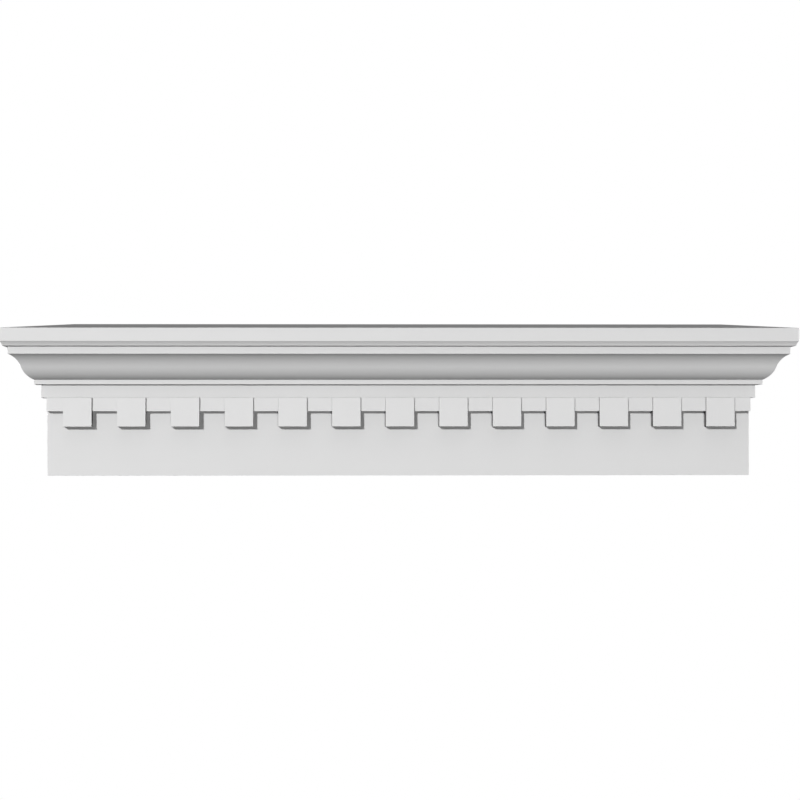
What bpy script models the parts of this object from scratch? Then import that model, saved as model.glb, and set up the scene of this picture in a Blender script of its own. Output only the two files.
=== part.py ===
"""Door crosshead: a frieze board under a returned crown moulding, with a planted dentil trim.

Metres, +Z up. The origin is the middle of the flat back, which lies on the wall in the plane y = 0.
The front faces -Y and +X runs along the crosshead to the right.

A moulding point is written as (projection, height): how far it stands out from the frieze's face and
how high it is above the bottom edge. The same projection holds at the front and at both returned ends,
so every moulding turns its corners in a mitre.
"""

import math

import bmesh
import bpy

# Frieze board
FRIEZE_WIDTH = 1.0668
FRIEZE_DEPTH = 0.0381
FRIEZE_BELOW_TRIM = 0.0741

# Dentil trim, a separate strip planted on the frieze
TRIM_BAND_HEIGHT = 0.0205
TRIM_BAND_THICKNESS = 0.01905
DENTIL_DROP = 0.0232
DENTIL_THICKNESS = 0.0254
DENTIL_WIDTH = 0.0432
DENTIL_GAP = 0.03794
JOINT_GAP = 0.0003

# Band and lower fillet, each a step out from what is below it
BAND_STEP = 0.0088
BAND_HEIGHT = 0.0202
LOWER_FILLET_STEP = 0.0099
LOWER_FILLET_HEIGHT = 0.0069

# Cyma recta: round below, hollow above, two equal arcs that meet at its middle
CYMA_PROJECTION = 0.0370
CYMA_HEIGHT = 0.0382
CYMA_MIDDLE_LEAN = math.radians(19.5)
CYMA_ARC_STEPS = 12

# Upper fillet, drip edge, cove and fascia
UPPER_FILLET_HEIGHT = 0.0118
DRIP_STEP = 0.0075
COVE_PROJECTION = 0.0039
COVE_HEIGHT = 0.0070
COVE_TURN = math.radians(28.0)
COVE_STEPS = 6
FASCIA_HEIGHT = 0.0200

# Sloping top
TOP_RISE = 0.0091

MERGE_DISTANCE = 1e-6

TRIM_TOP = FRIEZE_BELOW_TRIM + DENTIL_DROP + TRIM_BAND_HEIGHT
BAND_BOTTOM = TRIM_TOP + JOINT_GAP
LOWER_FILLET_BOTTOM = BAND_BOTTOM + BAND_HEIGHT
CYMA_BOTTOM = LOWER_FILLET_BOTTOM + LOWER_FILLET_HEIGHT
UPPER_FILLET_BOTTOM = CYMA_BOTTOM + CYMA_HEIGHT
DRIP_HEIGHT = UPPER_FILLET_BOTTOM + UPPER_FILLET_HEIGHT
FASCIA_BOTTOM = DRIP_HEIGHT + COVE_HEIGHT
FASCIA_TOP = FASCIA_BOTTOM + FASCIA_HEIGHT
TOTAL_HEIGHT = FASCIA_TOP + TOP_RISE

LOWER_FILLET_PROJECTION = BAND_STEP + LOWER_FILLET_STEP
UPPER_FILLET_PROJECTION = LOWER_FILLET_PROJECTION + CYMA_PROJECTION
DRIP_PROJECTION = UPPER_FILLET_PROJECTION + DRIP_STEP
FASCIA_PROJECTION = DRIP_PROJECTION + COVE_PROJECTION


def clear_scene():
    """Removes every object that the open file holds."""
    for obj in list(bpy.data.objects):
        bpy.data.objects.remove(obj, do_unlink=True)


def material(name, colour, roughness, metallic=0.0):
    """A Principled BSDF with one colour, roughness and metallic value."""
    made = bpy.data.materials.new(name)
    made.use_nodes = True
    shader = made.node_tree.nodes["Principled BSDF"]
    shader.inputs["Base Color"].default_value = (*colour, 1.0)
    shader.inputs["Roughness"].default_value = roughness
    shader.inputs["Metallic"].default_value = metallic
    made.diffuse_color = (*colour, 1.0)
    return made


def add_object(name, mesh_builder, finish):
    """Turns a closed bmesh into a named object with one material."""
    bmesh.ops.remove_doubles(mesh_builder, verts=mesh_builder.verts, dist=MERGE_DISTANCE)
    bmesh.ops.recalc_face_normals(mesh_builder, faces=mesh_builder.faces)
    mesh = bpy.data.meshes.new(name)
    mesh_builder.to_mesh(mesh)
    mesh_builder.free()
    mesh.materials.append(finish)
    obj = bpy.data.objects.new(name, mesh)
    bpy.context.scene.collection.objects.link(obj)
    return obj


def arc(start, end, turn, steps):
    """Points after start, up to end, on the arc between them whose direction turns by turn, anticlockwise."""
    across, up = end[0] - start[0], end[1] - start[1]
    radius = math.hypot(across, up) / (2.0 * math.sin(turn / 2.0))
    first = math.atan2(up, across) - turn / 2.0
    points = []
    for step in range(1, steps + 1):
        heading = first + turn * step / steps
        points.append((
            start[0] + radius * (math.sin(heading) - math.sin(first)),
            start[1] + radius * (math.cos(first) - math.cos(heading)),
        ))
    return points


def cyma(start, end):
    """Points after start of the cyma recta: its lean from upright is least at the middle."""
    middle = ((start[0] + end[0]) / 2.0, (start[1] + end[1]) / 2.0)
    chord_lean = math.atan2(end[0] - start[0], end[1] - start[1])
    turn = 2.0 * (chord_lean - CYMA_MIDDLE_LEAN)
    return arc(start, middle, turn, CYMA_ARC_STEPS) + arc(middle, end, -turn, CYMA_ARC_STEPS)


def body_profile():
    """The moulding from the frieze's bottom edge to the back of the sloping top."""
    cyma_start = (LOWER_FILLET_PROJECTION, CYMA_BOTTOM)
    cyma_end = (UPPER_FILLET_PROJECTION, UPPER_FILLET_BOTTOM)
    drip = (DRIP_PROJECTION, DRIP_HEIGHT)
    fascia_foot = (FASCIA_PROJECTION, FASCIA_BOTTOM)
    points = [
        (0.0, 0.0),
        (0.0, BAND_BOTTOM),
        (BAND_STEP, BAND_BOTTOM),
        (BAND_STEP, LOWER_FILLET_BOTTOM),
        (LOWER_FILLET_PROJECTION, LOWER_FILLET_BOTTOM),
        cyma_start,
    ]
    points += cyma(cyma_start, cyma_end)
    points += [(UPPER_FILLET_PROJECTION, DRIP_HEIGHT), drip]
    points += arc(drip, fascia_foot, -COVE_TURN, COVE_STEPS)
    points += [(FASCIA_PROJECTION, FASCIA_TOP), (-FRIEZE_DEPTH, TOTAL_HEIGHT)]
    return points


def mitred_ring(point):
    """One moulding point carried round the plan: left wall, left corner, right corner, right wall."""
    projection, height = point
    x = FRIEZE_WIDTH / 2.0 + projection
    y = -(FRIEZE_DEPTH + projection)
    z = height - TOTAL_HEIGHT / 2.0
    return [(-x, 0.0, z), (-x, y, z), (x, y, z), (x, 0.0, z)]


def build_body(finish):
    """Frieze, crown moulding with its returns, and hipped top, closed by a flat back."""
    shell = bmesh.new()
    rings = [[shell.verts.new(corner) for corner in mitred_ring(point)] for point in body_profile()]
    shell.faces.new(rings[0])
    for lower, upper in zip(rings, rings[1:]):
        for side in range(3):
            shell.faces.new((lower[side], lower[side + 1], upper[side + 1], upper[side]))
    left_edge = [ring[0] for ring in rings]
    right_edge = [ring[3] for ring in reversed(rings)]
    shell.faces.new(left_edge + right_edge)
    return add_object("crosshead_body", shell, finish)


def dentil_centres():
    """Dentil places along X: as many as fit with half a gap past the last, and centred."""
    pitch = DENTIL_WIDTH + DENTIL_GAP
    count = int(FRIEZE_WIDTH / pitch)
    return [(index - (count - 1) / 2.0) * pitch for index in range(count)]


def add_cell(shell, left, right, low, high):
    """One upright rectangle of the strip's back, in the plane just clear of the frieze."""
    y = -(FRIEZE_DEPTH + JOINT_GAP)
    corners = [(left, low), (right, low), (right, high), (left, high)]
    return shell.faces.new([shell.verts.new((x, y, z - TOTAL_HEIGHT / 2.0)) for x, z in corners])


def raise_faces(shell, faces, distance, keep_back):
    """Extrudes faces forward by a distance and returns the moved ones."""
    made = bmesh.ops.extrude_face_region(shell, geom=faces, use_keep_orig=True)["geom"]
    moved = [item for item in made if isinstance(item, bmesh.types.BMVert)]
    bmesh.ops.translate(shell, verts=moved, vec=(0.0, -distance, 0.0))
    if not keep_back:
        bmesh.ops.delete(shell, geom=faces, context="FACES_ONLY")
    return [item for item in made if isinstance(item, bmesh.types.BMFace)]


def build_trim(finish):
    """A thin band as long as the frieze, with thicker dentils that hang below it."""
    shell = bmesh.new()
    band_low = TRIM_TOP - TRIM_BAND_HEIGHT
    dentil_low = band_low - DENTIL_DROP
    left = -FRIEZE_WIDTH / 2.0
    for centre in dentil_centres():
        near, far = centre - DENTIL_WIDTH / 2.0, centre + DENTIL_WIDTH / 2.0
        add_cell(shell, left, near, band_low, TRIM_TOP)
        add_cell(shell, near, far, band_low, TRIM_TOP)
        add_cell(shell, near, far, dentil_low, band_low)
        left = far
    add_cell(shell, left, FRIEZE_WIDTH / 2.0, band_low, TRIM_TOP)
    bmesh.ops.remove_doubles(shell, verts=shell.verts, dist=MERGE_DISTANCE)

    fronts = raise_faces(shell, shell.faces[:], TRIM_BAND_THICKNESS, keep_back=True)
    on_dentil = [face for face in fronts if is_on_dentil(face.calc_center_median().x)]
    raise_faces(shell, on_dentil, DENTIL_THICKNESS - TRIM_BAND_THICKNESS, keep_back=False)
    return add_object("dentil_trim", shell, finish)


def is_on_dentil(x):
    """Whether a place along X lies within one of the dentils."""
    return any(abs(x - centre) < DENTIL_WIDTH / 2.0 for centre in dentil_centres())


def main():
    """Builds both pieces into an empty scene."""
    clear_scene()
    build_body(material("primed moulding", (0.80, 0.80, 0.80), 0.48))
    build_trim(material("primed trim", (0.80, 0.80, 0.80), 0.50))


main()
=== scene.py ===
"""Looks, light and camera for the door crosshead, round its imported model.

Metres, +Z up. The crosshead's flat back lies in the plane y = 0, its front faces -Y, and the origin is
the middle of the back. A point of its section is written (projection, height): how far it stands out
from the frieze's face, and how high it is above the bottom edge.
"""

import sys
import logging
import math
from dataclasses import dataclass, field
from enum import Enum
from typing import Sequence

import bpy
import numpy as np
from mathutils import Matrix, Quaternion, Vector
from numpy.typing import NDArray


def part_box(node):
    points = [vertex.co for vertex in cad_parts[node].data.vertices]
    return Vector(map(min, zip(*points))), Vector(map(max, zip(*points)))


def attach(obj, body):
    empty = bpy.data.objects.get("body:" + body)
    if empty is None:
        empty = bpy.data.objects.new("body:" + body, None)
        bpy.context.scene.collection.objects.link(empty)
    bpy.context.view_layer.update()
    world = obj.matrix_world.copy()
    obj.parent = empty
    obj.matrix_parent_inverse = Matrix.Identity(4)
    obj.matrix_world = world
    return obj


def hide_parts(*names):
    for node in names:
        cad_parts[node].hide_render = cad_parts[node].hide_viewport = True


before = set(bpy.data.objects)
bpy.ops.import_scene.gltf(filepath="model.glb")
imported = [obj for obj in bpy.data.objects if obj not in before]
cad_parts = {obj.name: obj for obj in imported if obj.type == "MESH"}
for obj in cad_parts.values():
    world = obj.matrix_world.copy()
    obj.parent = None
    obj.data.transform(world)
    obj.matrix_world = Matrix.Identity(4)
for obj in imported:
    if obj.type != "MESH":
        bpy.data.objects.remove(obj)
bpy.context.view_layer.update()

Array = NDArray[np.float64]
Colour = tuple[float, float, float]

MM = 0.001
BODY_NODE = "crosshead_body"
TRIM_NODE = "dentil_trim"
ROOT_BODY = "root"

log = logging.getLogger("crosshead")


def opaque(colour: Colour) -> tuple[float, float, float, float]:
    """The colour with full cover, as a shader's socket takes it."""
    return (*colour, 1.0)


class SocketKind(Enum):
    """The kinds of value that a node group takes in or gives out."""

    VALUE = "NodeSocketFloat"
    VECTOR = "NodeSocketVector"
    COLOUR = "NodeSocketColor"


class Sheen(Enum):
    """How dull a surface is, as the roughness of its shader."""

    SATIN = 0.47
    CHALKY = 0.78


class LampRole(Enum):
    """What each lamp of the studio is there for."""

    KEY = "key"
    FILL = "fill"
    WASH = "wash"
    END = "end"
    BACK = "back"


@dataclass(frozen=True)
class Socket:
    """One named input or output of a node group."""

    name: str
    kind: SocketKind


class NodeDesk:
    """A node tree with short ways to add nodes to it and join them."""

    def __init__(self, tree: bpy.types.NodeTree) -> None:
        """Keeps the tree to work on, that of a material, a world or a node group."""
        self.tree = tree

    def add(self, kind: str, **settings: object) -> bpy.types.Node:
        """Adds a node.

        Args:
            kind: the node's type name.
            **settings: properties of the node, set before anything reads its sockets.

        Returns:
            The new node.
        """
        node = self.tree.nodes.new(kind)
        for name, value in settings.items():
            setattr(node, name, value)
        return node

    def feed(self, socket: bpy.types.NodeSocket, source: object) -> None:
        """Joins an output to an input, or sets the input's own value.

        Args:
            socket: the input.
            source: an output socket, or a plain value.
        """
        if isinstance(source, bpy.types.NodeSocket):
            self.tree.links.new(source, socket)
        else:
            socket.default_value = source

    def arithmetic(self, operation: str, *values: object) -> bpy.types.NodeSocket:
        """Adds a Math node.

        Args:
            operation: the node's operation.
            *values: its two or three numbers or sources, in order.

        Returns:
            The result's socket.
        """
        node = self.add("ShaderNodeMath", operation=operation)
        for socket, value in zip(node.inputs, values):
            self.feed(socket, value)
        return node.outputs[0]

    def noise(self, vector: object, scale: object, detail: float = 2.0) -> bpy.types.NodeSocket:
        """Adds a noise pattern.

        Args:
            vector: where the pattern is read.
            scale: how many cells lie along one metre.
            detail: how many finer octaves it has.

        Returns:
            The pattern's value, about 0.5 on average.
        """
        node = self.add("ShaderNodeTexNoise", noise_dimensions="3D")
        self.feed(node.inputs["Vector"], vector)
        self.feed(node.inputs["Scale"], scale)
        node.inputs["Detail"].default_value = detail
        return node.outputs["Fac"]

    def blend(self, factor: object, first: object, second: object) -> bpy.types.NodeSocket:
        """Mixes two colours.

        Args:
            factor: 0 for the first colour and 1 for the second.
            first: the first colour or its source.
            second: the second colour or its source.

        Returns:
            The mixed colour's socket.
        """
        node = self.add("ShaderNodeMix", data_type="RGBA")
        self.feed(node.inputs["Factor"], factor)
        self.feed(node.inputs["A"], first)
        self.feed(node.inputs["B"], second)
        return node.outputs["Result"]

    def place_group(self, group: bpy.types.NodeTree, **values: object) -> bpy.types.Node:
        """Places a node group and gives its inputs their values.

        Args:
            group: the group.
            **values: an entry for each input, its spaces written as underscores.

        Returns:
            The group's node.
        """
        node = self.add("ShaderNodeGroup", node_tree=group)
        for name, value in values.items():
            self.feed(node.inputs[name.replace("_", " ")], value)
        return node


def new_group(
    name: str, takes: Sequence[Socket], gives: Sequence[Socket]
) -> tuple[NodeDesk, bpy.types.Node, bpy.types.Node]:
    """Starts a shader node group.

    Args:
        name: the group's name.
        takes: its inputs.
        gives: its outputs.

    Returns:
        A desk on the group's tree, its input node and its output node.
    """
    tree = bpy.data.node_groups.new(name, "ShaderNodeTree")
    for way, sockets in (("INPUT", takes), ("OUTPUT", gives)):
        for entry in sockets:
            tree.interface.new_socket(entry.name, in_out=way, socket_type=entry.kind.value)
    desk = NodeDesk(tree)
    return desk, desk.add("NodeGroupInput"), desk.add("NodeGroupOutput")


class SkinGroups:
    """The node groups that the crosshead's finishes share, each made once."""

    NOISE_MEAN = 0.5
    FINE_CLOUD_SCALE = 6.0
    FINE_CLOUD_SHARE = 0.33
    FINE_PEEL_SCALE = 3.1
    FINE_PEEL_SHARE = 0.25

    def __init__(self) -> None:
        """Makes every group."""
        self.mottle = self._mottle()
        self.peel = self._peel()
        self.run_marks = self._run_marks()
        self.pores = self._pores()

    def _mottle(self) -> bpy.types.NodeTree:
        """Broad, faint clouds in a coat of primer.

        The cloud value is a noise a hand's breadth across, mixed two to one with a noise a finger's
        breadth across. It blends the two tints and shifts the roughness by the same share.

        Returns:
            The group, which gives a colour and a roughness.
        """
        desk, takes, gives = new_group(
            "primer mottle",
            [
                Socket("Vector", SocketKind.VECTOR),
                Socket("Light Tint", SocketKind.COLOUR),
                Socket("Deep Tint", SocketKind.COLOUR),
                Socket("Cells", SocketKind.VALUE),
                Socket("Roughness", SocketKind.VALUE),
                Socket("Spread", SocketKind.VALUE),
            ],
            [Socket("Colour", SocketKind.COLOUR), Socket("Roughness", SocketKind.VALUE)],
        )
        broad = desk.noise(takes.outputs["Vector"], takes.outputs["Cells"], detail=3.0)
        fine_cells = desk.arithmetic("MULTIPLY", takes.outputs["Cells"], self.FINE_CLOUD_SCALE)
        fine = desk.noise(takes.outputs["Vector"], fine_cells)
        share = desk.arithmetic("MULTIPLY", fine, self.FINE_CLOUD_SHARE)
        cloud = desk.arithmetic("MULTIPLY_ADD", broad, 1.0 - self.FINE_CLOUD_SHARE, share)
        tint = desk.blend(cloud, takes.outputs["Light Tint"], takes.outputs["Deep Tint"])
        centred = desk.arithmetic("SUBTRACT", cloud, self.NOISE_MEAN)
        swing = desk.arithmetic("MULTIPLY", centred, takes.outputs["Spread"])
        desk.feed(gives.inputs["Colour"], tint)
        desk.feed(gives.inputs["Roughness"], desk.arithmetic("ADD", swing, takes.outputs["Roughness"]))
        return desk.tree

    def _peel(self) -> bpy.types.NodeTree:
        """The faint orange peel that a sprayed coat dries to.

        The height is a noise with the peel's cells, with a quarter of a noise three times as fine added.

        Returns:
            The group, which gives a height from 0 to 1.25.
        """
        desk, takes, gives = new_group(
            "sprayed peel",
            [Socket("Vector", SocketKind.VECTOR), Socket("Cells", SocketKind.VALUE)],
            [Socket("Height", SocketKind.VALUE)],
        )
        coarse = desk.noise(takes.outputs["Vector"], takes.outputs["Cells"], detail=1.0)
        fine_cells = desk.arithmetic("MULTIPLY", takes.outputs["Cells"], self.FINE_PEEL_SCALE)
        fine = desk.noise(takes.outputs["Vector"], fine_cells, detail=1.0)
        share = desk.arithmetic("MULTIPLY", fine, self.FINE_PEEL_SHARE)
        desk.feed(gives.inputs["Height"], desk.arithmetic("ADD", coarse, share))
        return desk.tree

    def _run_marks(self) -> bpy.types.NodeTree:
        """Faint lines along a moulding, left by the rubbing-down between coats.

        The place is squeezed by the stretch along X, so that a noise of the given cells runs out into
        long streaks.

        Returns:
            The group, which gives a height from 0 to 1.
        """
        desk, takes, gives = new_group(
            "rubbed run marks",
            [
                Socket("Vector", SocketKind.VECTOR),
                Socket("Cells", SocketKind.VALUE),
                Socket("Stretch", SocketKind.VALUE),
            ],
            [Socket("Height", SocketKind.VALUE)],
        )
        parts = desk.add("ShaderNodeSeparateXYZ")
        desk.feed(parts.inputs["Vector"], takes.outputs["Vector"])
        joined = desk.add("ShaderNodeCombineXYZ")
        squeezed = desk.arithmetic("DIVIDE", parts.outputs["X"], takes.outputs["Stretch"])
        desk.feed(joined.inputs["X"], squeezed)
        desk.feed(joined.inputs["Y"], parts.outputs["Y"])
        desk.feed(joined.inputs["Z"], parts.outputs["Z"])
        desk.feed(gives.inputs["Height"], desk.noise(joined.outputs["Vector"], takes.outputs["Cells"]))
        return desk.tree

    def _pores(self) -> bpy.types.NodeTree:
        """Small round pits, as the planed face of rigid foam has.

        A pit lies round each cell centre of a Voronoi pattern: the distance to the centre, as a share of
        the pit's radius, goes from 0 at its bottom to 1 at its rim and stays there.

        Returns:
            The group, which gives a height and a mask of the pits.
        """
        desk, takes, gives = new_group(
            "foam pores",
            [
                Socket("Vector", SocketKind.VECTOR),
                Socket("Cells", SocketKind.VALUE),
                Socket("Pit Radius", SocketKind.VALUE),
            ],
            [Socket("Height", SocketKind.VALUE), Socket("Mask", SocketKind.VALUE)],
        )
        cells = desk.add("ShaderNodeTexVoronoi", voronoi_dimensions="3D", feature="F1")
        desk.feed(cells.inputs["Vector"], takes.outputs["Vector"])
        desk.feed(cells.inputs["Scale"], takes.outputs["Cells"])
        share = desk.arithmetic("DIVIDE", cells.outputs["Distance"], takes.outputs["Pit Radius"])
        height = desk.arithmetic("MINIMUM", share, 1.0)
        desk.feed(gives.inputs["Height"], height)
        desk.feed(gives.inputs["Mask"], desk.arithmetic("SUBTRACT", 1.0, height))
        return desk.tree


@dataclass(frozen=True, kw_only=True)
class MottledCoat:
    """A coat of primer whose tint and sheen drift in faint clouds: the ground of both finishes."""

    name: str
    light_tint: Colour
    deep_tint: Colour
    sheen: Sheen
    mottle_cells: float = 9.0
    roughness_spread: float = 0.06

    def start(self) -> tuple[bpy.types.Material, NodeDesk, bpy.types.Node, bpy.types.NodeSocket]:
        """Starts the material.

        Returns:
            The material, a desk on its tree, its shader, and the place that the patterns read.
        """
        made = bpy.data.materials.new(self.name)
        made.use_nodes = True
        desk = NodeDesk(made.node_tree)
        place = desk.add("ShaderNodeTexCoord").outputs["Object"]
        return made, desk, made.node_tree.nodes["Principled BSDF"], place

    def place_mottle(
        self, desk: NodeDesk, groups: SkinGroups, place: bpy.types.NodeSocket
    ) -> bpy.types.Node:
        """Places the mottle with this coat's tints and sheen.

        Args:
            desk: the material's desk.
            groups: the shared node groups.
            place: where the pattern is read.

        Returns:
            The mottle's node.
        """
        return desk.place_group(
            groups.mottle,
            Vector=place,
            Light_Tint=opaque(self.light_tint),
            Deep_Tint=opaque(self.deep_tint),
            Cells=self.mottle_cells,
            Roughness=self.sheen.value,
            Spread=self.roughness_spread,
        )


@dataclass(frozen=True, kw_only=True)
class PrimerFinish(MottledCoat):
    """A sprayed coat of white primer on a moulded skin."""

    peel_cells: float = 330.0
    peel_height: float = 0.012 * MM
    mark_cells: float = 900.0
    mark_stretch: float = 70.0
    mark_height: float = 0.004 * MM
    specular_level: float = 0.8

    def material(self, groups: SkinGroups) -> bpy.types.Material:
        """Makes the material.

        The colour and roughness come from the mottle. The bump is the peel, with the run marks bumped on
        top of it.

        Args:
            groups: the shared node groups.

        Returns:
            The material.
        """
        made, desk, shader, place = self.start()
        mottle = self.place_mottle(desk, groups, place)
        peel = desk.place_group(groups.peel, Vector=place, Cells=self.peel_cells)
        marks = desk.place_group(
            groups.run_marks, Vector=place, Cells=self.mark_cells, Stretch=self.mark_stretch
        )
        peel_bump = add_bump(desk, peel.outputs["Height"], self.peel_height)
        mark_bump = add_bump(desk, marks.outputs["Height"], self.mark_height, peel_bump)
        desk.feed(shader.inputs["Base Color"], mottle.outputs["Colour"])
        desk.feed(shader.inputs["Roughness"], mottle.outputs["Roughness"])
        desk.feed(shader.inputs["Normal"], mark_bump)
        shader.inputs["Specular IOR Level"].default_value = self.specular_level
        return made


@dataclass(frozen=True, kw_only=True)
class PlanedFoamFinish(MottledCoat):
    """The planed back, where the foam's pores show through a thin wash of primer."""

    pit_tint: Colour
    mottle_cells: float = 11.0
    roughness_spread: float = 0.1
    pore_cells: float = 420.0
    pore_radius: float = 0.2
    pore_depth: float = 0.06 * MM
    bubble_cells: float = 55.0
    bubble_radius: float = 0.11
    bubble_depth: float = 1.2 * MM
    mark_cells: float = 170.0
    mark_stretch: float = 90.0
    mark_height: float = 0.05 * MM
    mark_tint_share: float = 0.55

    def material(self, groups: SkinGroups) -> bpy.types.Material:
        """Makes the material.

        Fine pores and, further apart, burst bubbles tint the mottled wash and sink into it. The plane's
        long marks thin the wash by turns, and are bumped over the rest.

        Args:
            groups: the shared node groups.

        Returns:
            The material.
        """
        made, desk, shader, place = self.start()
        mottle = self.place_mottle(desk, groups, place)
        pores = desk.place_group(
            groups.pores, Vector=place, Cells=self.pore_cells, Pit_Radius=self.pore_radius
        )
        bubbles = desk.place_group(
            groups.pores, Vector=place, Cells=self.bubble_cells, Pit_Radius=self.bubble_radius
        )
        marks = desk.place_group(
            groups.run_marks, Vector=place, Cells=self.mark_cells, Stretch=self.mark_stretch
        )
        thinned = desk.arithmetic("MULTIPLY", marks.outputs["Height"], self.mark_tint_share)
        planed = desk.blend(thinned, mottle.outputs["Colour"], opaque(self.deep_tint))
        pitted = desk.arithmetic("MAXIMUM", pores.outputs["Mask"], bubbles.outputs["Mask"])
        tint = desk.blend(pitted, planed, opaque(self.pit_tint))
        pore_bump = add_bump(desk, pores.outputs["Height"], self.pore_depth)
        bubble_bump = add_bump(desk, bubbles.outputs["Height"], self.bubble_depth, pore_bump)
        mark_bump = add_bump(desk, marks.outputs["Height"], self.mark_height, bubble_bump)
        desk.feed(shader.inputs["Base Color"], tint)
        desk.feed(shader.inputs["Roughness"], mottle.outputs["Roughness"])
        desk.feed(shader.inputs["Normal"], mark_bump)
        return made


def add_bump(
    desk: NodeDesk, height: bpy.types.NodeSocket, depth: float, under: bpy.types.NodeSocket | None = None
) -> bpy.types.NodeSocket:
    """Adds a Bump node.

    Args:
        desk: the material's desk.
        height: the pattern's height.
        depth: what a height of 1 stands for, in metres.
        under: the normal of a bump that lies under this one.

    Returns:
        The bumped normal's socket.
    """
    bump = desk.add("ShaderNodeBump")
    bump.inputs["Distance"].default_value = depth
    desk.feed(bump.inputs["Height"], height)
    if under is not None:
        desk.feed(bump.inputs["Normal"], under)
    return bump.outputs["Normal"]


@dataclass(frozen=True)
class Easing:
    """The small rounds that a mould and a coat of primer leave on a section's corners."""

    arris: float = 0.3 * MM
    quirk: float = 0.15 * MM
    steps: int = 4
    least_turn: float = math.radians(12.0)

    def round_corners(self, points: Array) -> tuple[Array, Array]:
        """Rounds the corners of an open section.

        Each corner is replaced by a quadratic curve whose middle control point is the corner and whose
        ends lie back along the two sides by the cut: the arris's for a left turn, which stands out, and
        the quirk's for a right turn, which goes in. Where the section hardly turns, its point stays.
        The direction on the curve goes evenly from the one side's to the other's.

        Args:
            points: the section's points, one (across, up) pair a row.

        Returns:
            The rounded section's points, and its outward unit normals at them.
        """
        along = np.diff(points, axis=0)
        along /= np.linalg.norm(along, axis=1, keepdims=True)
        before = np.vstack([along[:1], along])
        after = np.vstack([along, along[-1:]])
        cross = before[:, 0] * after[:, 1] - before[:, 1] * after[:, 0]
        turn = np.arctan2(cross, np.sum(before * after, axis=1))
        corner = np.abs(turn) > self.least_turn
        cut = np.where(corner, np.where(turn > 0.0, self.arris, self.quirk), 0.0)[:, None, None]

        share = np.where(corner[:, None], np.linspace(0.0, 1.0, self.steps + 1), 0.5)[:, :, None]
        start = points[:, None] - cut * before[:, None]
        end = points[:, None] + cut * after[:, None]
        middle = points[:, None]
        curve = (1 - share) ** 2 * start + 2 * share * (1 - share) * middle + share**2 * end
        heading = (1 - share) * before[:, None] + share * after[:, None]
        heading /= np.linalg.norm(heading, axis=2, keepdims=True)

        kept = corner[:, None] | (np.arange(self.steps + 1) == 0)
        outward = np.stack([heading[kept][:, 1], -heading[kept][:, 0]], axis=1)
        return curve[kept], outward


def arc(start: Array, end: Array, turn: float, steps: int) -> Array:
    """Points of an arc whose direction turns evenly from its start to its end.

    The chord's length is twice the radius times the sine of half the turn, and the arc sets out from
    the chord's direction turned back by half the turn.

    Args:
        start: the first point, which isn't repeated in the result.
        end: the last point.
        turn: how far the direction turns, anticlockwise, in radians.
        steps: how many points to give.

    Returns:
        The points after the start, one a row.
    """
    chord = end - start
    radius = np.hypot(*chord) / (2.0 * math.sin(turn / 2.0))
    first = math.atan2(chord[1], chord[0]) - turn / 2.0
    heading = first + turn * np.arange(1, steps + 1) / steps
    across = np.sin(heading) - math.sin(first)
    up = math.cos(first) - np.cos(heading)
    return start + radius * np.stack([across, up], axis=1)


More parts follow.
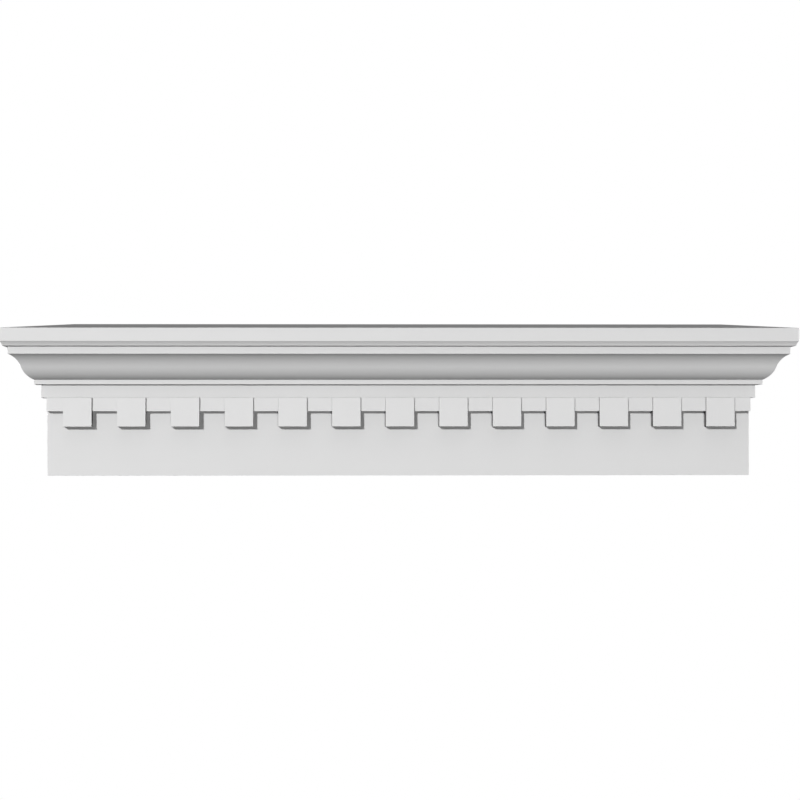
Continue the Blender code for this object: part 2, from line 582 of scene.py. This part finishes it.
class PieceMesh:
    """Gathers the surfaces of one piece and writes them as one welded mesh."""

    WELD = 0.001 * MM

    def __init__(self) -> None:
        """Starts with no surface."""
        self.corners: list[Array] = []
        self.normals: list[Array] = []
        self.finishes: list[NDArray[np.int64]] = []
        self.sizes: list[NDArray[np.int64]] = []

    def add_grid(self, points: Array, normals: Array, finish: int = 0) -> None:
        """Adds a surface given as a grid of points.

        Each cell of the grid is one face. Where two neighbours of a cell's corners are the same point,
        the cell is a triangle, and where it has no area it is left out.

        Args:
            points: the places, of shape rows by columns by 3; along a row the surface goes to the
                right, and from row to row up, as seen from its outer side.
            normals: the outward unit normals at the points.
            finish: the place of the finish in the piece's material slots.
        """
        quads = self._cells(points)
        leans = self._cells(normals)
        places = np.round(quads / self.WELD)
        doubled = np.all(places == np.roll(places, -1, axis=1), axis=2)
        whole = ~doubled.any(axis=1)
        self._keep(quads[whole], leans[whole], finish)
        once = doubled.sum(axis=1) == 1
        first = np.argmax(doubled[once], axis=1)
        rest = (first[:, None] + np.arange(1, 4)) % 4
        rows = np.arange(len(rest))[:, None]
        self._keep(quads[once][rows, rest], leans[once][rows, rest], finish)

    def add_cap(self, rim: Array, normal: Array, finish: int = 0) -> None:
        """Adds a flat face inside a closed rim.

        Args:
            rim: the points round the face, anticlockwise as seen from its outer side.
            normal: the face's outward unit normal.
            finish: the place of the finish in the piece's material slots.
        """
        places = np.round(rim / self.WELD)
        fresh = np.any(places != np.roll(places, 1, axis=0), axis=1)
        kept = rim[fresh]
        self._keep(kept[None], np.broadcast_to(normal, (1, *kept.shape)), finish)

    def write(self, name: str) -> bpy.types.Object:
        """Welds the surfaces and makes the object.

        Points that are the same to a micrometre become one vertex. The normals stay those of each
        surface, so a flat face is shaded flat right up to the round beside it.

        Args:
            name: the object's name.

        Returns:
            The object, at the origin.
        """
        corners = np.vstack([block.reshape(-1, 3) for block in self.corners])
        normals = np.vstack([block.reshape(-1, 3) for block in self.normals])
        sizes = np.concatenate(self.sizes)
        _, first, index = np.unique(
            np.round(corners / self.WELD).astype(np.int64), axis=0, return_index=True, return_inverse=True
        )
        faces = np.split(index.reshape(-1), np.cumsum(sizes)[:-1])
        mesh = bpy.data.meshes.new(name)
        mesh.from_pydata(corners[first], [], [face.tolist() for face in faces])
        mesh.polygons.foreach_set("material_index", np.concatenate(self.finishes))
        mesh.polygons.foreach_set("use_smooth", np.ones(len(sizes), dtype=bool))
        mesh.update()
        mesh.normals_split_custom_set(normals)
        made = bpy.data.objects.new(name, mesh)
        bpy.context.scene.collection.objects.link(made)
        return made

    def _cells(self, grid: Array) -> Array:
        """The values at the four corners of each cell of a grid, anticlockwise."""
        corners = (grid[:-1, :-1], grid[:-1, 1:], grid[1:, 1:], grid[1:, :-1])
        return np.stack(corners, axis=2).reshape(-1, 4, 3)

    def _keep(self, corners: Array, normals: Array, finish: int) -> None:
        """Keeps a block of faces with the same number of corners each.

        Args:
            corners: the places, of shape faces by corners by 3.
            normals: the outward unit normals at the corners.
            finish: the place of the finish in the piece's material slots.
        """
        count, size = corners.shape[:2]
        self.corners.append(corners)
        self.normals.append(normals)
        self.finishes.append(np.full(count, finish, dtype=np.int64))
        self.sizes.append(np.full(count, size, dtype=np.int64))


@dataclass(frozen=True)
class CrownSection:
    """The section of the moulded body, from the back of its underside to the back of its top."""

    band_step: float = 8.8 * MM
    band_height: float = 20.2 * MM
    lower_fillet_step: float = 9.9 * MM
    lower_fillet_height: float = 6.9 * MM
    cyma_projection: float = 37.0 * MM
    cyma_height: float = 38.2 * MM
    cyma_middle_lean: float = math.radians(19.5)
    upper_fillet_height: float = 11.8 * MM
    drip_step: float = 7.5 * MM
    cove_projection: float = 3.9 * MM
    cove_height: float = 7.0 * MM
    cove_turn: float = math.radians(28.0)
    fascia_height: float = 20.0 * MM
    cyma_steps: int = 32
    cove_steps: int = 10

    def points(self, depth: float, band_foot: float, height: float) -> Array:
        """Lays the members end to end.

        Every straight member is a step across or up from the one before. The cyma is two equal arcs:
        the lower one is round and turns from a shallow slope to the middle lean, and the upper one is
        hollow and turns back. The cove is one hollow arc under the fascia.

        Args:
            depth: how far the frieze's face stands out from the wall.
            band_foot: how high the band's underside is above the frieze's bottom edge.
            height: how high the back of the top is above the frieze's bottom edge.

        Returns:
            The section's points, one (projection, height) pair a row.
        """
        runs = [
            (depth, 0.0),
            (0.0, band_foot),
            (self.band_step, 0.0),
            (0.0, self.band_height),
            (self.lower_fillet_step, 0.0),
            (0.0, self.lower_fillet_height),
        ]
        straight = np.cumsum(np.array([(-depth, 0.0), *runs]), axis=0)
        cyma_start = straight[-1]
        cyma_end = cyma_start + (self.cyma_projection, self.cyma_height)
        drip = cyma_end + (self.drip_step, self.upper_fillet_height)
        fascia_foot = drip + (self.cove_projection, self.cove_height)
        fascia_top = fascia_foot + (0.0, self.fascia_height)
        return np.vstack([
            straight,
            self._cyma(cyma_start, cyma_end),
            drip - (self.drip_step, 0.0),
            drip,
            arc(drip, fascia_foot, -self.cove_turn, self.cove_steps),
            fascia_top,
            (-depth, height),
        ])

    def _cyma(self, start: Array, end: Array) -> Array:
        """The cyma's two arcs.

        Args:
            start: its foot.
            end: its top.

        Returns:
            Its points after the foot, one a row.
        """
        middle = (start + end) / 2.0
        chord_lean = math.atan2(self.cyma_projection, self.cyma_height)
        turn = 2.0 * (chord_lean - self.cyma_middle_lean)
        lower = arc(start, middle, turn, self.cyma_steps)
        return np.vstack([lower, arc(middle, end, -turn, self.cyma_steps)])


@dataclass
class MouldedBody:
    """The frieze, the crown with its two returns, and the hipped top, moulded as one."""

    depth: float = 38.1 * MM
    joint_gap: float = 0.05 * MM
    section: CrownSection = field(default_factory=CrownSection)
    easing: Easing = field(default_factory=Easing)
    corner_radius: float = 0.3 * MM
    corner_steps: int = 5

    def build(self) -> bpy.types.Object:
        """Carries the section round the plan and closes it with the flat back.

        The band starts a hair above the dentil strip, and the section is as high as the solid.

        Returns:
            The piece, with slot 0 for its face and slot 1 for its back.
        """
        low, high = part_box(BODY_NODE)
        band_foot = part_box(TRIM_NODE)[1][2] + self.joint_gap - low[2]
        outline = self.section.points(self.depth, band_foot, high[2] - low[2])
        section, outward = self.easing.round_corners(outline)
        points, normals = self._sweep(section, outward)
        mesh = PieceMesh()
        mesh.add_grid(points, normals)
        rim = np.vstack([points[:, 0], points[-1], points[::-1, -1], points[0, ::-1]])
        mesh.add_cap(rim, np.array([0.0, 1.0, 0.0]), finish=1)
        return mesh.write("moulded_crosshead")

    def dress(self, piece: bpy.types.Object, face: bpy.types.Material, back: bpy.types.Material) -> None:
        """Gives the piece its finishes and puts it in the place of its solid.

        Args:
            piece: the built piece.
            face: the finish of everything but the back.
            back: the finish of the back.
        """
        piece.data.materials.append(face)
        piece.data.materials.append(back)
        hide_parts(BODY_NODE)
        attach(piece, ROOT_BODY)

    def _sweep(self, section: Array, outward: Array) -> tuple[Array, Array]:
        """Carries the section from the wall round both front corners and back to the wall.

        At a projection, the plan's line runs along the left end, the front and the right end, all that
        far out from the frieze. Each front corner is a quarter circle about a centre that lies one
        corner radius inside both lines. A place on it is the centre plus the radius times the facing
        direction, and nothing goes behind the wall plane. A normal is the facing direction times the
        section normal's part across, with its part up.

        Args:
            section: the section's points, (projection, height).
            outward: the section's normals, (across, up).

        Returns:
            The grid of points and the grid of normals.
        """
        low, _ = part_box(BODY_NODE)
        half_width = -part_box(TRIM_NODE)[0][0]
        quarter = np.linspace(0.0, math.pi / 2.0, self.corner_steps + 1)
        side = np.concatenate([[1.0], np.cos(quarter)])
        front = np.concatenate([[0.0], np.sin(quarter)])
        facing_x = np.concatenate([-side, side[::-1]])
        facing_y = np.concatenate([-front, -front[::-1]])
        hand = np.repeat([-1.0, 1.0], len(side))
        at_wall = np.zeros(len(hand), dtype=bool)
        at_wall[[0, -1]] = True

        out = section[:, :1] - self.corner_radius
        x = hand * (half_width + out) + self.corner_radius * facing_x
        y = -(self.depth + out) + self.corner_radius * facing_y
        y = np.where(at_wall, 0.0, np.minimum(y, 0.0))
        z = np.broadcast_to(low[2] + section[:, 1:], x.shape)
        rise = np.broadcast_to(outward[:, 1:], x.shape)
        lean = (outward[:, :1] * facing_x, outward[:, :1] * facing_y, rise)
        return np.stack([x, y, z], axis=2), np.stack(lean, axis=2)


@dataclass
class PlantedDentils:
    """The straight strip of dentils, cut square and planted on the frieze under the crown."""

    band_height: float = 20.5 * MM
    band_thickness: float = 19.05 * MM
    dentil_width: float = 43.2 * MM
    dentil_gap: float = 37.94 * MM
    easing: float = 0.2 * MM
    easing_segments: int = 3
    least_turn: float = math.radians(40.0)

    def build(self) -> bpy.types.Object:
        """Makes the strip from blocks, as one solid with eased edges.

        The strip's box is cut by planes across its length at each side of each dentil, by one level at
        the foot of the band and by one plane at the band's face. That gives a small grid of blocks, of
        which the band's back layer and all the dentils' blocks are filled.

        Returns:
            The piece.
        """
        low, high = (np.array(corner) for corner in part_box(TRIM_NODE))
        centres = self._centres(high[0] - low[0])
        edges = np.stack([centres - self.dentil_width / 2.0, centres + self.dentil_width / 2.0], axis=1)
        across = np.concatenate([[low[0]], edges.ravel(), [high[0]]])
        deep = np.array([low[1], high[1] - self.band_thickness, high[1]])
        up = np.array([low[2], high[2] - self.band_height, high[2]])
        on_dentil = np.arange(len(across) - 1) % 2 == 1
        filled = np.zeros((len(across) - 1, 2, 2), dtype=bool)
        filled[:, 1, 1] = True
        filled[on_dentil] = True
        points, faces = block_surface(across, deep, up, filled)
        mesh = bpy.data.meshes.new("planted_dentils")
        mesh.from_pydata(points, [], faces.tolist())
        mesh.polygons.foreach_set("use_smooth", np.ones(len(faces), dtype=bool))
        piece = bpy.data.objects.new("planted_dentils", mesh)
        bpy.context.scene.collection.objects.link(piece)
        self._ease(piece)
        return piece

    def dress(self, piece: bpy.types.Object, face: bpy.types.Material) -> None:
        """Gives the strip its finish and puts it in the place of its solid.

        Args:
            piece: the built piece.
            face: its finish.
        """
        piece.data.materials.append(face)
        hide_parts(TRIM_NODE)
        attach(piece, ROOT_BODY)

    def _centres(self, length: float) -> Array:
        """Spaces the dentils evenly, as many as fit in the length, centred.

        Args:
            length: the strip's length.

        Returns:
            Their places along X.
        """
        pitch = self.dentil_width + self.dentil_gap
        count = int(length / pitch)
        return (np.arange(count) - (count - 1) / 2.0) * pitch

    def _ease(self, piece: bpy.types.Object) -> None:
        """Rounds every edge a little, and keeps the flat faces shaded flat.

        Args:
            piece: the strip.
        """
        bevel = piece.modifiers.new("eased edges", "BEVEL")
        bevel.width = self.easing
        bevel.segments = self.easing_segments
        bevel.limit_method = "ANGLE"
        bevel.angle_limit = self.least_turn
        bevel.harden_normals = True


def block_surface(
    across: Array, deep: Array, up: Array, filled: NDArray[np.bool_]
) -> tuple[Array, NDArray[np.int64]]:
    """The outer skin of a set of blocks in a grid.

    A face lies wherever a filled block meets an empty one: the filled array, with an empty layer put
    round it, changes there from one block to the next along an axis. A rise is a face that looks back
    along the axis and a fall one that looks forward. A corner's number is its place in the grid of all
    corners.

    Args:
        across: the planes along X, rising.
        deep: the planes along Y, rising.
        up: the planes along Z, rising.
        filled: whether each block is filled, by X, Y and Z.

    Returns:
        The corners in use, one a row, and the faces as rows of four corner numbers.
    """
    shape = (len(across), len(deep), len(up))
    padded = np.pad(filled, 1).astype(int)
    loop = np.array([(0, 0), (1, 0), (1, 1), (0, 1)])
    faces = []
    for axis in range(3):
        first, second = (axis + 1) % 3, (axis + 2) % 3
        inner = [slice(1, -1)] * 3
        inner[axis] = slice(None)
        change = np.diff(padded[tuple(inner)], axis=axis)
        for step, order in ((-1, loop), (1, loop[::-1])):
            start = np.argwhere(change == step)
            corners = np.repeat(start[:, None], 4, axis=1)
            corners[:, :, first] += order[:, 0]
            corners[:, :, second] += order[:, 1]
            faces.append(np.ravel_multi_index(tuple(np.moveaxis(corners, 2, 0)), shape))
    used, numbered = np.unique(np.vstack(faces), return_inverse=True)
    ix, iy, iz = np.unravel_index(used, shape)
    points = np.stack([across[ix], deep[iy], up[iz]], axis=1)
    return points, numbered.reshape(-1, 4)


@dataclass(frozen=True)
class Lamp:
    """A distant lamp, given by where it stands as seen from the crosshead.

    The azimuth is 0 straight in front and 90 degrees off the right end, and the spread is how wide the
    lamp looks, so that a wide one casts soft shadows. All three angles are in degrees.
    """

    role: LampRole
    azimuth: float
    elevation: float
    spread: float
    strength: float
    distance: float = 3.0

    def place(self) -> None:
        """Makes the lamp and turns it to shine on the crosshead.

        The direction to it has the parts sin(azimuth) cos(elevation), -cos(azimuth) cos(elevation) and
        sin(elevation).
        """
        azimuth, elevation = math.radians(self.azimuth), math.radians(self.elevation)
        level = math.cos(elevation)
        towards = Vector((math.sin(azimuth) * level, -math.cos(azimuth) * level, math.sin(elevation)))
        data = bpy.data.lights.new(self.role.value, "SUN")
        data.energy = self.strength
        data.angle = math.radians(self.spread)
        lamp = bpy.data.objects.new(self.role.value, data)
        lamp.rotation_euler = towards.to_track_quat("Z", "Y").to_euler()
        lamp.location = towards * self.distance
        bpy.context.scene.collection.objects.link(lamp)


@dataclass
class Studio:
    """The white surroundings: a pale floor, a white sky and the lamps.

    A narrow key lamp from the front left and a weaker fill from nearly straight ahead draw the crisp
    shadows under the crown and beside the dentils, and wide washes soften them. The lamps behind the
    wall plane light the ends and the back. The light is direct alone, because light thrown back between
    white faces would make those shadows paler than they are.
    """

    floor_height: float = -6.0
    floor_radius: float = 12.0
    floor_segments: int = 96
    floor_tint: Colour = (0.86, 0.86, 0.86)
    floor_glow: float = 0.8
    sky_tint: Colour = (1.0, 1.0, 1.0)
    light_bounces: int = 0
    lamps: tuple[Lamp, ...] = (
        Lamp(LampRole.KEY, azimuth=-13.6, elevation=9.4, spread=1.2, strength=1.654),
        Lamp(LampRole.FILL, azimuth=3.4, elevation=-3.4, spread=1.0, strength=0.484),
        Lamp(LampRole.WASH, azimuth=-80.0, elevation=22.0, spread=32.0, strength=0.426),
        Lamp(LampRole.WASH, azimuth=-90.0, elevation=50.0, spread=32.0, strength=0.261),
        Lamp(LampRole.WASH, azimuth=-25.0, elevation=22.0, spread=32.0, strength=0.106),
        Lamp(LampRole.WASH, azimuth=0.0, elevation=50.0, spread=32.0, strength=0.159),
        Lamp(LampRole.WASH, azimuth=0.0, elevation=-60.0, spread=32.0, strength=0.125),
        Lamp(LampRole.WASH, azimuth=90.0, elevation=-60.0, spread=32.0, strength=0.108),
        Lamp(LampRole.WASH, azimuth=85.0, elevation=10.0, spread=32.0, strength=0.25),
        Lamp(LampRole.END, azimuth=108.0, elevation=-6.0, spread=10.0, strength=2.2),
        Lamp(LampRole.END, azimuth=-108.0, elevation=-6.0, spread=10.0, strength=1.0),
        Lamp(LampRole.BACK, azimuth=195.0, elevation=-6.0, spread=12.0, strength=1.6),
    )

    def build(self) -> None:
        """Makes the floor, the sky and every lamp."""
        self._floor()
        self._sky()
        for lamp in self.lamps:
            lamp.place()
        log.info("studio: %d lamps", len(self.lamps))
        scene = bpy.context.scene
        scene.cycles.max_bounces = self.light_bounces
        scene.view_settings.view_transform = "Standard"

    def _floor(self) -> None:
        """A disc of pale floor, so far down that the crosshead can be seen and lit from below too."""
        angle = np.linspace(0.0, 2.0 * math.pi, self.floor_segments, endpoint=False)
        x, y = self.floor_radius * np.cos(angle), self.floor_radius * np.sin(angle)
        rim = np.stack([x, y, np.full_like(angle, self.floor_height)], axis=1)
        mesh = bpy.data.meshes.new("floor")
        mesh.from_pydata(rim, [], [list(range(len(rim)))])
        floor = bpy.data.objects.new("floor", mesh)
        bpy.context.scene.collection.objects.link(floor)
        mesh.materials.append(self._floor_finish())
        floor.visible_shadow = floor.visible_diffuse = floor.visible_glossy = False

    def _floor_finish(self) -> bpy.types.Material:
        """Matt pale paint, with a glow that only the camera sees, so that it looks nearly white.

        Returns:
            The floor's material.
        """
        made = bpy.data.materials.new("pale floor")
        made.use_nodes = True
        desk = NodeDesk(made.node_tree)
        made.node_tree.nodes.remove(made.node_tree.nodes["Principled BSDF"])
        matt = desk.add("ShaderNodeBsdfDiffuse")
        matt.inputs["Color"].default_value = opaque(self.floor_tint)
        glow = desk.add("ShaderNodeEmission")
        seen = desk.add("ShaderNodeLightPath").outputs["Is Camera Ray"]
        desk.feed(glow.inputs["Strength"], desk.arithmetic("MULTIPLY", seen, self.floor_glow))
        both = desk.add("ShaderNodeAddShader")
        desk.feed(both.inputs[0], matt.outputs["BSDF"])
        desk.feed(both.inputs[1], glow.outputs["Emission"])
        desk.feed(made.node_tree.nodes["Material Output"].inputs["Surface"], both.outputs["Shader"])
        return made

    def _sky(self) -> None:
        """White as the camera sees it, while the lamps alone light the crosshead."""
        world = bpy.data.worlds.new("white studio")
        world.use_nodes = True
        bpy.context.scene.world = world
        desk = NodeDesk(world.node_tree)
        backdrop = world.node_tree.nodes["Background"]
        backdrop.inputs["Color"].default_value = opaque(self.sky_tint)
        seen = desk.add("ShaderNodeLightPath").outputs["Is Camera Ray"]
        desk.feed(backdrop.inputs["Strength"], seen)


@dataclass
class PhotoCamera:
    """The photograph's camera: far off, a little left of the middle and a little below.

    The lens and the sensor's width are in millimetres, as the camera takes them.
    """

    place: tuple[float, float, float] = (-0.1697, -5.045, -0.0849)
    aim: tuple[float, float, float] = (0.0010, -0.0380, -0.0011)
    roll: float = math.radians(-0.047)
    lens: float = 148.27
    sensor_width: float = 36.0

    def build(self) -> None:
        """Makes the camera and sets the scene to look through it."""
        data = bpy.data.cameras.new("camera")
        data.lens = self.lens
        data.sensor_width = self.sensor_width
        camera = bpy.data.objects.new("camera", data)
        camera.location = self.place
        sight = (Vector(self.aim) - Vector(self.place)).to_track_quat("-Z", "Y")
        camera.rotation_euler = (sight @ Quaternion((0.0, 0.0, 1.0), self.roll)).to_euler()
        bpy.context.scene.collection.objects.link(camera)
        bpy.context.scene.camera = camera


def report_piece(piece: bpy.types.Object) -> None:
    """Logs a finished piece's name, how many faces it has and its size."""
    size = ", ".join(f"{side / MM:.1f}" for side in piece.dimensions)
    log.info("%s: %d faces, %s mm", piece.name, len(piece.data.polygons), size)


def main() -> None:
    """Builds the camera, the pieces with their finishes, and the studio."""
    logging.basicConfig(level=logging.INFO, format="%(message)s", stream=sys.stdout)
    PhotoCamera().build()
    groups = SkinGroups()
    face = PrimerFinish(
        name="primed moulding",
        light_tint=(0.81, 0.81, 0.81),
        deep_tint=(0.79, 0.79, 0.79),
        sheen=Sheen.SATIN,
    )
    # The strip is the same primer as the moulding, painted a shade lighter: painted light that stands in
    # for the overhead wash the crown keeps off the strip's band.
    strip_painted_lighter = PrimerFinish(
        name="primed trim",
        light_tint=(0.83, 0.83, 0.83),
        deep_tint=(0.81, 0.81, 0.81),
        sheen=Sheen.SATIN,
    )
    back = PlanedFoamFinish(
        name="planed foam back",
        light_tint=(0.82, 0.81, 0.785),
        deep_tint=(0.66, 0.64, 0.60),
        pit_tint=(0.42, 0.39, 0.34),
        sheen=Sheen.CHALKY,
    )

    body = MouldedBody()
    moulding = body.build()
    body.dress(moulding, face.material(groups), back.material(groups))
    report_piece(moulding)

    trim = PlantedDentils()
    strip = trim.build()
    trim.dress(strip, strip_painted_lighter.material(groups))
    report_piece(strip)

    Studio().build()


if __name__ == "__main__":
    main()
